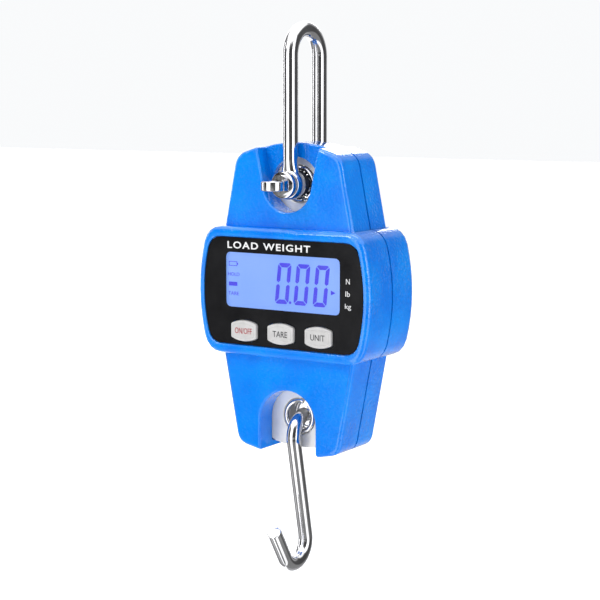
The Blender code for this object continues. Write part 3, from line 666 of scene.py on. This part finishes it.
def digit(left_x, base_z, y):
    """A driven nought: a bar at the top and the bottom and two on each side, all leaning."""
    w, h, s = 6.7, 17.3, 1.85  # width, height and bar thickness in mm
    lean = math.tan(math.radians(6))
    upper = [(1.05, h), (w - 1.05, h), (w - 0.45, h - 0.5), (w - s - 0.1, h - s), (s + 0.1, h - s),
             (0.45, h - 0.5)]
    side = [(0.0, h - 1.3), (0.3, h - 0.75), (s - 0.05, h - s - 0.35), (s - 0.05, h / 2 + 1.15),
            (s / 2, h / 2 + 0.3), (0.0, h / 2 + 1.0)]
    shapes = [upper, [(x, h - z) for x, z in upper]]
    shapes += [side, [(w - x, z) for x, z in side]]
    shapes += [[(x, h - z) for x, z in side], [(w - x, h - z) for x, z in side]]
    bars = []
    for number, shape in enumerate(shapes):
        corners = [(left_x + (x + lean * z) * MM, base_z + z * MM) for x, z in shape]
        bars.append(patch(f"digit_bar_{number}", corners, y=y))
    return gather("digit_1", bars)


def battery_icon(y):
    """Outlined battery: four thin bars round an empty middle, and a small nub."""
    x0, x1, z0, z1, line = -27.7, -23.4, 10.4, 12.4, 0.28
    bars = [((x0, z0), (x1, z0 + line)), ((x0, z1 - line), (x1, z1)),
            ((x0, z0 + line), (x0 + line, z1 - line)), ((x1 - line, z0 + line), (x1, z1 - line)),
            ((x1, z0 + 0.6), (x1 + 0.45, z1 - 0.6))]
    made = []
    for number, ((a, b), (c, d)) in enumerate(bars):
        corners = [(a * MM, DISPLAY_Z + b * MM), (c * MM, DISPLAY_Z + b * MM),
                   (c * MM, DISPLAY_Z + d * MM), (a * MM, DISPLAY_Z + d * MM)]
        made.append(patch(f"battery_icon_{number}", corners, y=y))
    return made


def display():
    glass = from_cad("lcd_glass", "display_glass")
    bevel_edges(glass, lambda edge: is_sharp(edge), 0.15 * MM, 2)
    smooth(glass)
    mount(glass, BODY, lit_display(), "lit_lcd", "lcd_glass")
    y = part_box("lcd_glass")[0][1] - 0.02 * MM
    nought = digit(-4.35 * MM, DISPLAY_Z - 4.2 * MM, y)
    marks = [nought, copied(nought, "digit_2", (9.25 * MM, 0, 0)),
             copied(nought, "digit_3", (18.65 * MM, 0, 0))]
    marks += battery_icon(y)
    point = [(3.35 + 0.62 * math.cos(math.tau * k / 20), -3.4 + 0.62 * math.sin(math.tau * k / 20))
             for k in range(20)]
    marks.append(patch("point", [(x * MM, DISPLAY_Z + z * MM) for x, z in point], y=y))
    pointer = [(23.2, 1.0), (25.5, 2.05), (23.2, 3.1)]
    marks.append(patch("pointer", [(x * MM, DISPLAY_Z + z * MM) for x, z in pointer], y=y))
    bar = [(-27.7, 1.9), (-23.4, 1.9), (-23.4, 3.6), (-27.7, 3.6)]
    marks.append(patch("zero_bar", [(x * MM, DISPLAY_Z + z * MM) for x, z in bar], y=y))
    marks.append(letters("hold_mark", "HOLD", -25.2 * MM, DISPLAY_Z + 6.9 * MM, 1.5 * MM, 5.9 * MM, y))
    marks.append(letters("tare_mark", "TARE", -25.3 * MM, DISPLAY_Z - 1.3 * MM, 1.5 * MM, 5.5 * MM, y))
    segments = gather("display_segments", marks)
    mount(segments, BODY, display_ink(), "lit_lcd")
    pane = from_cad("display_window", "display_pane")
    bevel_edges(pane, lambda edge: is_sharp(edge), 0.1 * MM, 1)
    smooth(pane)
    mount(pane, BODY, window_pane(), "clear_window", "display_window")


def overlay():
    film = from_cad("display_overlay", "overlay_film")
    bevel_edges(film, rim_at(PANEL_Y), 0.12 * MM, 2)
    smooth(film)
    mount(film, BODY, overlay_film(), "black_overlay", "display_overlay")
    white = printing("white_print", (0.86, 0.86, 0.86))
    title = letters("overlay_title", "LOAD WEIGHT", -6.5 * MM, DISPLAY_Z + 19.6 * MM, 3.0 * MM,
                    41.5 * MM, PANEL_Y, 1.2, 0.02)
    units = [letters("mark_n", "N", 32.3 * MM, DISPLAY_Z + 7.4 * MM, 2.2 * MM, 1.8 * MM, PANEL_Y),
             letters("mark_lb", "lb", 32.2 * MM, DISPLAY_Z + 2.3 * MM, 2.2 * MM, 2.1 * MM, PANEL_Y),
             letters("mark_kg", "kg", 32.4 * MM, DISPLAY_Z - 3.1 * MM, 2.7 * MM, 2.9 * MM, PANEL_Y)]
    mount(title, BODY, white, "black_overlay")
    mount(gather("overlay_units", units), BODY, white, "black_overlay")


def key_outline(half_x, side_z, bulge, corner):
    """Corner points (x, z) of a key: straight sides, bowed top and bottom and small round corners."""
    bow = (half_x ** 2 + bulge ** 2) / (2 * bulge)
    centre_z = side_z + bulge - bow
    points = []
    turn_x = half_x - corner
    turn_z = centre_z + math.sqrt((bow - corner) ** 2 - turn_x ** 2)
    last = math.degrees(math.atan2(turn_z - centre_z, turn_x))
    for k in range(6):
        angle = math.radians(last * k / 5)
        points.append((turn_x + corner * math.cos(angle), turn_z + corner * math.sin(angle)))
    for k in range(1, 20):
        angle = math.radians(last + (180 - 2 * last) * k / 20)
        points.append((bow * math.cos(angle), centre_z + bow * math.sin(angle)))
    points += [(-x, z) for x, z in reversed(points[:6])]
    return points + [(-x, -z) for x, z in points]


def key_cap(node):
    """Press key: a bowed cap on a flange, its crown ringed by a groove."""
    centre = middle(node)
    back_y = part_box(node)[1][1]
    outline = [(centre.x + x * MM, KEY_ROW_Z + z * MM) for x, z in key_outline(6.4, 2.95, 1.5, 0.9)]
    cap = patch(node + "_cap", outline, 4 * MM, KEY_FACE_Y + 4 * MM)
    bevel_edges(cap, rim_at(KEY_FACE_Y), 0.4 * MM, 3)
    edit(cap, "FACE", lambda face: face.normal.y < -0.99
         and abs(face.calc_center_median().y - KEY_FACE_Y) < 0.02 * MM)
    for narrow, squash, sink in ((0.93, 0.86, 0.0), (0.975, 0.95, 0.12), (0.975, 0.95, 0.0),
                                 (0.975, 0.95, -0.12)):
        bpy.ops.mesh.extrude_region_move(TRANSFORM_OT_translate={"value": (0, sink * MM, 0)})
        bpy.ops.transform.resize(value=(narrow, 1, squash),
                                 center_override=(centre.x, KEY_FACE_Y, KEY_ROW_Z))
    leave()
    low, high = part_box(node)
    flange = add_block("flange", (high[0] - low[0], 1.4 * MM, high[2] - low[2]),
                       (centre.x, back_y - 0.7 * MM, centre.z))
    bevel_edges(flange, lambda edge: is_sharp(edge) and abs(edge.verts[0].co.y - edge.verts[1].co.y)
                > 1 * MM, 1.5 * MM, 3)
    combine(cap, flange, "UNION")
    smooth(cap, 28)
    return cap


def keys():
    plastic = key_plastic()
    red = printing("red_print", (0.4, 0.012, 0.02))
    grey = printing("dark_grey_print", (0.025, 0.025, 0.03))
    first = middle("power_key")
    cap = key_cap("power_key")
    caps = [cap] + [copied(cap, node + "_cap", middle(node) - first)
                    for node in ("tare_key", "unit_key")]
    wording = (("power_key", "ON/OFF", 8.6, red), ("tare_key", "TARE", 7.2, grey),
               ("unit_key", "UNIT", 6.9, grey))
    for piece, (node, words, width, ink) in zip(caps, wording):
        body = node + "_body"
        mount(piece, body, plastic, "grey_key", node)
        word = letters(node + "_word", words, middle(node).x, KEY_ROW_Z, 2.5 * MM, width * MM,
                       KEY_FACE_Y)
        mount(word, body, ink, "grey_key")


# shackle


def arc(centre, radius, start_deg, end_deg, count):
    """Points of an arc in the plane x = 0, angles from +Y towards +Z."""
    y, z = centre
    points = []
    for k in range(count + 1):
        angle = math.radians(start_deg + (end_deg - start_deg) * k / count)
        points.append(Vector((0, y + radius * math.cos(angle), z + radius * math.sin(angle))))
    return points


def shackle(steel):
    leg_y, rod_r = 11.4 * MM, 3.2 * MM
    bend_z = CAD_HIGH[2] - leg_y - rod_r
    foot_z = PIN_Z + 4.6 * MM
    points = [Vector((0, leg_y, foot_z)), Vector((0, leg_y, foot_z + 6 * MM))]
    points += [Vector((0, leg_y, z * MM)) for z in (-36, -22)]
    points += arc((0.0, bend_z), leg_y, 0, 180, 40)
    points += [Vector((0, -leg_y, z * MM)) for z in (-22, -36)]
    points += [Vector((0, -leg_y, foot_z + 6 * MM)), Vector((0, -leg_y, foot_z))]
    bow = wire("bow", points, rod_r, 10)
    for side in (-1, 1):
        flare_neck(bow, side * leg_y, foot_z)
    for side in (-1, 1):
        profile = [(0.0, -3.2), (5.55, -3.2), (5.85, -3.0), (6.12, -2.2), (6.28, -1.1), (6.33, 0.0),
                   (6.28, 1.1), (6.12, 2.2), (5.85, 3.0), (5.55, 3.2), (0.0, 3.2)]
        centre = (0, side * leg_y, PIN_Z)
        eye = lathe("eye", [(r * MM, d * MM) for r, d in profile], centre)
        combine(bow, eye, "UNION")
        bore = add_cylinder("bore", (4.1 if side < 0 else 3.6) * MM, 12 * MM, centre, "Y", 58)
        combine(bow, bore, "DIFFERENCE")
    face_outwards(bow)

    def bore_rim(edge):
        place = edge_middle(edge)
        return is_sharp(edge, 60) and math.hypot(place.x, place.z - PIN_Z) < 4.4 * MM

    bevel_edges(bow, bore_rim, 0.45 * MM, 2)
    smooth(bow, 40)
    mount(bow, "shackle", steel, "polished_steel", "shackle_bow")


def flare_neck(bow, leg_y, foot_z):
    """Widens the foot of a leg sideways where it runs into its eye."""
    def foot(face):
        place = face.calc_center_median()
        return (abs(face.normal.z) > 0.9 and abs(place.z - foot_z) < 0.1 * MM
                and abs(place.y - leg_y) < 4 * MM)

    edit(bow, "FACE", foot)
    bpy.ops.transform.translate(value=(0, 0, 5.6 * MM))
    for drop, widen in ((-1.4, 1.02), (-1.3, 1.04), (-1.1, 1.07), (-0.9, 1.08), (-0.9, 1.06)):
        bpy.ops.mesh.extrude_region_move(TRANSFORM_OT_translate={"value": (0, 0, drop * MM)})
        bpy.ops.transform.resize(value=(widen, 0.985, 1.0), center_override=(0, leg_y, 0))
    leave()
    face_outwards(bow)


def pin(steel):
    """Screw pin: rounded collar, threaded end and a flat tab with a drilled eye."""
    profile = [(0.0, 22.4), (2.5, 22.4), (2.9, 22.0)]
    thread_y = 21.7
    while thread_y > 11.6:
        profile += [(3.25, thread_y), (3.25, thread_y - 0.2), (2.72, thread_y - 0.52),
                    (2.72, thread_y - 0.68)]
        thread_y -= 1.0
    profile += [(3.25, 10.8), (3.8, 10.2), (3.8, -14.6), (4.2, -14.9), (5.2, -14.9), (5.5, -15.05),
                (5.65, -15.5), (5.65, -17.3), (5.5, -17.75), (5.1, -17.9), (0.0, -17.9)]
    shaft = lathe("pin", [(r * MM, d * MM) for r, d in profile], (0, 0, PIN_Z), "Y", 72)
    tab_y = (-17.9 - 11.8 + 4.8) * MM
    tab = add_cylinder("tab", 4.8 * MM, 4 * MM, (0, tab_y, PIN_Z), "Z", 72)
    neck = add_block("neck", (8.2 * MM, 8.4 * MM, 4 * MM), (0, -20.9 * MM, PIN_Z))
    combine(tab, neck, "UNION")
    edit(tab, "FACE", lambda face: True)
    bpy.ops.mesh.dissolve_limited(angle_limit=math.radians(0.5))
    leave()
    root = add_cylinder("root", 4.3 * MM, 3.0 * MM, (0, -18.6 * MM, PIN_Z), "Y", 64)
    combine(tab, root, "UNION")
    bore = add_cylinder("bore", 1.7 * MM, 9 * MM, (0, tab_y, PIN_Z), "Z", 48)
    combine(tab, bore, "DIFFERENCE")
    bevel_edges(tab, lambda edge: is_sharp(edge, 50) and edge_middle(edge).y < -20.4 * MM, 0.45 * MM)
    combine(shaft, tab, "UNION")
    cross = add_cylinder("cross", 1.45 * MM, 12 * MM, (0, COTTER_Y, PIN_Z), "Z", 32)
    combine(shaft, cross, "DIFFERENCE")
    smooth(shaft, 30)
    mount(shaft, "shackle", steel, "polished_steel", "shackle_pin")


def cotter(steel):
    """Split pin: an open loop above the shackle pin, its legs spread below it."""
    z, half = PIN_Z / MM, 0.62
    right = [(3.2, -11.4), (2.6, -10.0), (1.9, -8.2), (1.25, -6.5), (0.8, -5.2), (half, -4.4),
             (half, 4.4), (0.7, 5.2)]
    left = [(-half - 0.08, 5.2), (-half, 4.4), (-half, -4.4), (-0.8, -5.2), (-1.25, -6.4),
            (-2.0, -8.6), (-2.8, -10.7), (-3.6, -12.6)]
    loop = []
    for k in range(25):
        angle = math.radians(-55 + 290 * k / 24)
        loop.append((1.3 * math.cos(angle), 6.95 + 1.3 * math.sin(angle)))
    points = [Vector((a * MM, COTTER_Y, (z + b) * MM)) for a, b in right + loop + left]
    split = wire("split_pin", points, 0.5 * MM, 4)
    smooth(split, 50)
    mount(split, "shackle", steel, "bright_wire", "cotter_pin")


def bushes():
    rubber = black_rubber()
    front, rear = "pin_bush_front", "pin_bush_rear"
    half = 1.75
    profile = [(4.05, half - 0.2), (4.25, half), (5.05, half), (5.3, half - 0.1), (5.45, half - 0.4),
               (5.45, 0.25), (5.38, 0.12), (5.38, -0.12), (5.45, -0.25), (5.45, -half + 0.4),
               (5.3, -half + 0.1), (5.05, -half), (4.25, -half), (4.05, -half + 0.2), (4.05, half - 0.2)]
    bush = lathe(front + "_ring", [(r * MM, d * MM) for r, d in profile], (0, middle(front).y, PIN_Z))
    smooth(bush, 40)
    other = copied(bush, rear + "_ring", (0, middle(rear).y - middle(front).y, 0))
    mount(bush, "shackle", rubber, "black_rubber", front)
    mount(other, "shackle", rubber, "black_rubber", rear)


# S hook


def hook(steel):
    bend_r, rod_r, tilt, flare = 9.0 * MM, 3.15 * MM, math.radians(12), 20.0
    reach = bend_r - rod_r - 1.3 * MM
    bend_z = LOWER_EYE_Z - EYE_RING_R - math.sqrt(reach ** 2 - (4 * MM) ** 2)
    leg = 15.3 * MM
    curl = arc((0.0, 0.0), bend_r, flare, 180, 34)
    lean = math.radians(flare)
    tip = curl[0] + Vector((0, leg * math.sin(lean), -leg * math.cos(lean)))
    half = [tip, (tip + curl[0]) / 2] + curl
    half_stem = 21.52 * MM
    centre = Vector((0, -bend_r, -half_stem))
    half.append((half[-1] + centre) / 2)
    line = half + [centre] + [2 * centre - point for point in reversed(half)]
    points = []
    for point in line:
        points.append(Vector((0, point.y * math.cos(tilt) - point.z * math.sin(tilt),
                              bend_z + point.y * math.sin(tilt) + point.z * math.cos(tilt))))
    bar = wire("hook_bar", points, rod_r, 10)
    bevel_edges(bar, lambda edge: is_sharp(edge, 60), 0.45 * MM, 3)
    smooth(bar)
    mount(bar, "s_hook_body", steel, "polished_steel", "s_hook")


# battery side


def door():
    """Battery door with grip ribs beside its finger scoop."""
    lid = from_cad("battery_door", "door_panel")
    bevel_edges(lid, rim_at(BOX_Y), 0.3 * MM, 2)
    smooth(lid)
    plastic = door_plastic()
    mount(lid, "battery_door_body", plastic, "blue_plastic", "battery_door")
    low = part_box("battery_door")[0][2]
    rib = add_block("rib", (12 * MM, 0.35 * MM, 0.8 * MM), (0, BOX_Y + 0.1 * MM, low + 10.5 * MM))
    bevel_edges(rib, lambda edge: is_sharp(edge) and edge_middle(edge).y > BOX_Y + 0.1 * MM,
                0.15 * MM, 2)
    ribs = [rib] + [copied(rib, f"rib_{number}", (0, 0, number * 1.7 * MM)) for number in range(1, 5)]
    grip = gather("door_grip_ribs", ribs)
    smooth(grip)
    mount(grip, "battery_door_body", plastic, "blue_plastic")


def cells():
    """One cell turned on the lathe, and two copies, the middle one end for end."""
    low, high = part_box("battery_1")
    half = (high[0] - low[0]) / 2 / MM
    profile = [(0.0, half), (1.6, half), (1.85, half - 0.15), (1.9, half - 0.8), (3.9, half - 0.85),
               (4.6, half - 0.9), (5.05, half - 1.1), (5.25, half - 1.5), (5.25, -half + 0.9),
               (5.1, -half + 0.35), (4.7, -half + 0.1), (3.6, -half + 0.1), (3.3, -half), (0.0, -half)]
    centre = middle("battery_1")
    cell = lathe("battery_1_cell", [(r * MM, d * MM) for r, d in profile], tuple(centre), "X", 48)
    smooth(cell, 40)
    made = [cell]
    for number, turn in ((2, math.pi), (3, 0.0)):
        shift = middle(f"battery_{number}") - centre
        made.append(copied(cell, f"battery_{number}_cell", shift, turn, tuple(centre)))
    for number, piece in enumerate(made, 1):
        side = -1 if number == 2 else 1
        jacket = cell_jacket(f"cell_jacket_{number}", side, middle(f"battery_{number}"))
        mount(piece, BODY, jacket, "battery_jacket", f"battery_{number}")


def inner_parts():
    """Materials of the CAD nodes that stay as they are."""
    zinc = zinc_steel()
    wire_steel = spring_steel()
    board = moulded("board_lacquer", (0.01, 0.11, 0.03), (0.02, 0.2, 0.06), 0.4)
    black = moulded("black_moulding", (0.015, 0.015, 0.016), (0.035, 0.035, 0.036), 0.5)
    pale = moulded("pale_moulding", (0.6, 0.6, 0.58), (0.75, 0.75, 0.73), 0.5)
    potting = moulded("gauge_potting_gum", (0.6, 0.6, 0.54), (0.74, 0.73, 0.66), 0.55)
    lead = moulded("lead_jacket", (0.3, 0.01, 0.01), (0.5, 0.02, 0.02), 0.5)
    rubber = bpy.data.materials["black_rubber"]
    wanted = {"main_board": board, "measuring_chip": black, "battery_tray": black,
              "power_switch": black, "tare_switch": black, "unit_switch": black,
              "backlight": pale, "lcd_frame": pale, "gauge_potting": potting,
              "load_cell_lead": lead, "case_seal": rubber}
    for number in range(1, 5):
        wanted[f"case_screw_{number}"] = zinc
        wanted[f"board_screw_{number}"] = zinc
    for number in range(1, 4):
        wanted[f"contact_plate_{number}"] = zinc
        wanted[f"contact_spring_{number}"] = wire_steel
    for node, material in wanted.items():
        mesh = frame["nodes"][node].data
        mesh.materials.clear()
        mesh.materials.append(material)


# studio


def by_ray(nodes, links, ray, other, chosen):
    """The chosen shader for rays of one kind, and the other shader for the rest."""
    node = nodes.new("ShaderNodeMixShader")
    links.new(ray, node.inputs["Fac"])
    links.new(other, node.inputs[1])
    links.new(chosen, node.inputs[2])
    return node.outputs["Shader"]


def floor():
    drop_selection()
    bpy.ops.mesh.primitive_plane_add(size=8, location=(0, 0, FLOOR_Z))
    ground = named("studio_floor")
    pale = Finish("studio_floor_white", (0.8, 0.8, 0.8), 0.6, Emission_Color=(0.98, 0.99, 1.0, 1.0),
                  Emission_Strength=0.5)
    tone = pale.spread(pale.noise(3), 0.3, 0.7, 0.0, 1.0)
    pale.colour(pale.blend(tone, (0.78, 0.78, 0.785), (0.82, 0.82, 0.82)))
    rays = pale.nodes.new("ShaderNodeLightPath")
    clear = pale.nodes.new("ShaderNodeBsdfTransparent")
    surface = by_ray(pale.nodes, pale.links, rays.outputs["Is Glossy Ray"], pale.shader.outputs["BSDF"],
                     clear.outputs["BSDF"])
    pale.links.new(surface, pale.nodes["Material Output"].inputs["Surface"])
    ground.data.materials.append(pale.material)


def softbox(name, place, target, width, height, power):
    bpy.ops.object.light_add(type="AREA", location=place)
    lamp = bpy.context.object
    lamp.name = name
    lamp.data.shape = "RECTANGLE"
    lamp.data.size = width
    lamp.data.size_y = height
    lamp.data.energy = power
    aim(lamp, target)


def grey_ramp(nodes, stops, blue=1.0):
    """A colour ramp through stops, (position, level), with its blue multiplied by blue."""
    node = nodes.new("ShaderNodeValToRGB")
    elements = node.color_ramp.elements
    while len(elements) < len(stops):
        elements.new(0.5)
    for element, (place, level) in zip(elements, stops):
        element.position = place
        element.color = (level, level, level * blue, 1)
    return node


def remap(nodes, links, value, low, high, top=1.0):
    node = nodes.new("ShaderNodeMapRange")
    node.inputs["From Min"].default_value = low
    node.inputs["From Max"].default_value = high
    node.inputs["To Max"].default_value = top
    links.new(value, node.inputs["Value"])
    return node.outputs["Result"]


def mix_colours(nodes, links, first, second, blend):
    node = nodes.new("ShaderNodeMix")
    node.data_type = "RGBA"
    node.blend_type = blend
    node.inputs["Factor"].default_value = 1.0
    links.new(first, node.inputs[6])
    links.new(second, node.inputs[7])
    return node.outputs[2]


def wall_strips(nodes, links):
    """White strips round dark walls under a white ceiling, by compass direction from the object."""
    direction = nodes.new("ShaderNodeTexCoord").outputs["Generated"]
    split = nodes.new("ShaderNodeSeparateXYZ")
    links.new(direction, split.inputs["Vector"])
    flip = nodes.new("ShaderNodeMath")
    flip.operation = "MULTIPLY"
    flip.inputs[1].default_value = -1.0
    links.new(split.outputs["Y"], flip.inputs[0])
    compass = nodes.new("ShaderNodeMath")
    compass.operation = "ARCTAN2"
    links.new(split.outputs["X"], compass.inputs[0])
    links.new(flip.outputs["Value"], compass.inputs[1])
    round_the_room = ((-180, 0.2), (-150, 0.2), (-140, 0.7), (-118, 0.7), (-110, 0.03), (-82, 0.03),
                      (-76, 0.3), (-60, 0.25), (-54, 0.015), (-31.5, 0.015), (-27, 0.85), (6, 0.85),
                      (13, 0.02), (58, 0.03), (66, 0.7), (94, 0.7), (102, 0.03), (160, 0.04), (172, 0.2))
    walls = grey_ramp(nodes, [((degrees + 180) / 360, level) for degrees, level in round_the_room], 1.02)
    links.new(remap(nodes, links, compass.outputs["Value"], -math.pi, math.pi), walls.inputs["Fac"])
    height = grey_ramp(nodes, ((0.0, 0.12), (0.3, 0.12), (0.4, 0.0), (0.62, 0.0), (0.78, 0.07),
                               (0.84, 0.65), (1.0, 0.65)))
    sweep = grey_ramp(nodes, ((0.0, 0.0), (0.396, 0.0), (0.415, 1.0), (0.455, 1.0), (0.478, 0.0)))
    rise = remap(nodes, links, split.outputs["Z"], -1.0, 1.0)
    links.new(rise, height.inputs["Fac"])
    links.new(rise, sweep.inputs["Fac"])
    front = remap(nodes, links, flip.outputs["Value"], 0.5, 0.9, 0.2)
    low_sheet = mix_colours(nodes, links, sweep.outputs["Color"], front, "MULTIPLY")
    room = mix_colours(nodes, links, walls.outputs["Color"], height.outputs["Color"], "LIGHTEN")
    return mix_colours(nodes, links, room, low_sheet, "LIGHTEN")


def background(nodes, colour, strength=1.0):
    node = nodes.new("ShaderNodeBackground")
    node.inputs["Color"].default_value = (*colour, 1)
    node.inputs["Strength"].default_value = strength
    return node


def studio():
    """Pale room to the eye; darker walls with bright strips for what the metal mirrors."""
    world = bpy.data.worlds.new("studio")
    bpy.context.scene.world = world
    world.use_nodes = True
    nodes, links = world.node_tree.nodes, world.node_tree.links
    nodes.clear()
    out = nodes.new("ShaderNodeOutputWorld")
    rays = nodes.new("ShaderNodeLightPath")
    pale = background(nodes, (0.95, 0.96, 0.97))
    room = background(nodes, (0.5, 0.505, 0.52))
    strips = background(nodes, (1.0, 1.0, 1.0), 3.0)
    links.new(wall_strips(nodes, links), strips.inputs["Color"])
    mirrored = by_ray(nodes, links, rays.outputs["Is Glossy Ray"], room.outputs["Background"],
                      strips.outputs["Background"])
    seen = by_ray(nodes, links, rays.outputs["Is Camera Ray"], mirrored, pale.outputs["Background"])
    links.new(seen, out.inputs["Surface"])
    heart = (0, 0, DISPLAY_Z)
    softbox("key_light", (-0.55, -0.95, 0.75), heart, 0.3, 0.55, 5.5)
    softbox("right_strip", (1.15, -0.35, 0.1), heart, 0.14, 1.1, 3.2)
    softbox("top_light", (0.0, -0.15, 1.15), heart, 0.8, 0.3, 4.5)
    softbox("back_light", (-0.5, 1.1, 0.5), heart, 0.4, 0.7, 3.5)
    softbox("left_strip", (-1.2, -0.2, 0.0), heart, 0.1, 1.1, 2.2)
    bpy.context.scene.view_settings.view_transform = "Standard"


add_camera()
paint = casting_paint()
casting("front_cover", "front_casting", -1, paint)
casting("rear_cover", "rear_casting", 1, paint)
weigh_plate()
bright_wire = spring_steel()
wear_rings(bright_wire)
overlay()
display()
keys()
polished = polished_steel()
shackle(polished)
pin(polished)
cotter(bright_wire)
bushes()
hook(polished)
door()
cells()
inner_parts()
floor()
studio()
